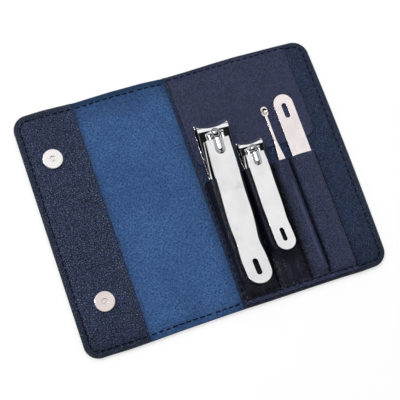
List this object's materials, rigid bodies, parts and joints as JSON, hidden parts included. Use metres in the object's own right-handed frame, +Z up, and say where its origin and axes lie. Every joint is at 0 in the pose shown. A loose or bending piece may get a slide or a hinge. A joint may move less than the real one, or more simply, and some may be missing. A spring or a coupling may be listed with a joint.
{
  "type": "manicure set case",
  "caption": "Folding leather manicure case with magnetic snap flap, suede lining and sewn pocket holding nail clippers, an ear pick and a nail file.",
  "frame": {"origin": "middle of the open case on the surface it lies on, under the fold between spine and tool side", "axes": "+X from the snap flap to the tool side, +Y along the fold towards the cutting heads, +Z up out of the open case"},
  "size_m": [0.15, 0.118, 0.0162],
  "materials": {
    "outer_leather": "pebbled navy leather, satin",
    "navy_leather": "pebbled navy leather, satin",
    "flap_leather": "smooth navy leather, satin",
    "blue_suede": "napped blue suede lining, matt",
    "board": "fibre board, matt",
    "interlining": "soft interlining, matt",
    "snap_plate": "bright plate",
    "magnet": "plain magnet, matt",
    "washer_steel": "plain steel",
    "chrome": "polished plate",
    "satin_steel": "satin"
  },
  "bodies": {
    "tool_side": {"tool_side_shell": "outer_leather", "tool_side_board": "board", "tool_side_lining": "navy_leather", "closure_magnets": "magnet", "protective_flap": "flap_leather", "pocket_panel": "navy_leather"},
    "spine": {"spine_shell": "outer_leather", "spine_interlining": "interlining", "spine_lining": "blue_suede"},
    "cover": {"cover_shell": "outer_leather", "cover_board": "board", "cover_lining": "blue_suede"},
    "snap_flap": {"snap_flap_shell": "outer_leather", "snap_flap_board": "board", "snap_flap_facing": "navy_leather", "snap_disc_upper": "snap_plate", "snap_disc_lower": "snap_plate", "snap_magnets": "magnet", "snap_washers": "washer_steel"},
    "large_clipper": {"large_lower_arm": "chrome", "large_rivet": "chrome"},
    "large_upper_arm": {"large_upper_arm": "chrome"},
    "large_pin": {"large_pin": "chrome"},
    "large_lever": {"large_lever": "chrome"},
    "small_clipper": {"small_lower_arm": "chrome", "small_rivet": "chrome"},
    "small_upper_arm": {"small_upper_arm": "chrome"},
    "small_pin": {"small_pin": "chrome"},
    "small_lever": {"small_lever": "chrome"},
    "ear_pick": {"ear_pick": "satin_steel"},
    "nail_file": {"nail_file": "satin_steel"}
  },
  "joints": [
    {"name": "spine_fold", "type": "hinge", "parent": "tool_side", "child": "spine", "pos_m": [0, 0, 0.0026], "axis": [0, 1, 0], "range_deg": [0, 90]},
    {"name": "cover_fold", "type": "hinge", "parent": "spine", "child": "cover", "pos_m": [-0.014, 0, 0.0026], "axis": [0, 1, 0], "range_deg": [0, 90]},
    {"name": "flap_bend", "type": "hinge", "parent": "cover", "child": "snap_flap", "pos_m": [-0.045, 0, 0.0026], "axis": [0, 1, 0], "range_deg": [0, 20]},
    {"name": "large_clipper_slide", "type": "slide", "parent": "tool_side", "child": "large_clipper", "axis": [-0.0471, -0.9989, 0], "range_m": [-0.058, 0]},
    {"name": "large_jaw_squeeze", "type": "hinge", "parent": "large_clipper", "child": "large_upper_arm", "pos_m": [0.00997, -0.04153, 0.0052], "axis": [0.9989, -0.0471, 0], "range_deg": [-1.12, 0], "stiffness_Nm_per_rad": 20},
    {"name": "large_pin_turn", "type": "hinge", "parent": "large_clipper", "child": "large_pin", "pos_m": [0.013, 0.0228, 0.0036], "axis": [0, 0, 1], "range_deg": [-180, 0]},
    {"name": "large_lever_lift", "type": "hinge", "parent": "large_pin", "child": "large_lever", "pos_m": [0.013, 0.0228, 0.0133], "axis": [0.9989, -0.0471, 0], "range_deg": [-160, 0]},
    {"name": "small_clipper_slide", "type": "slide", "parent": "tool_side", "child": "small_clipper", "axis": [-0.0209, -0.9998, 0], "range_m": [-0.042, 0]},
    {"name": "small_jaw_squeeze", "type": "hinge", "parent": "small_clipper", "child": "small_upper_arm", "pos_m": [0.02754, -0.03009, 0.0048], "axis": [0.9998, -0.0209, 0], "range_deg": [-1.23, 0], "stiffness_Nm_per_rad": 8},
    {"name": "small_pin_turn", "type": "hinge", "parent": "small_clipper", "child": "small_pin", "pos_m": [0.0284, 0.0111, 0.0036], "axis": [0, 0, -1], "range_deg": [-180, 0]},
    {"name": "small_lever_lift", "type": "hinge", "parent": "small_pin", "child": "small_lever", "pos_m": [0.0284, 0.0111, 0.011], "axis": [0.9998, -0.0209, 0], "range_deg": [-160, 0]},
    {"name": "ear_pick_slide", "type": "slide", "parent": "tool_side", "child": "ear_pick", "axis": [0, -1, 0], "range_m": [-0.056, 0]},
    {"name": "nail_file_slide", "type": "slide", "parent": "tool_side", "child": "nail_file", "axis": [0, -1, 0], "range_m": [-0.057, 0]}
  ]
}
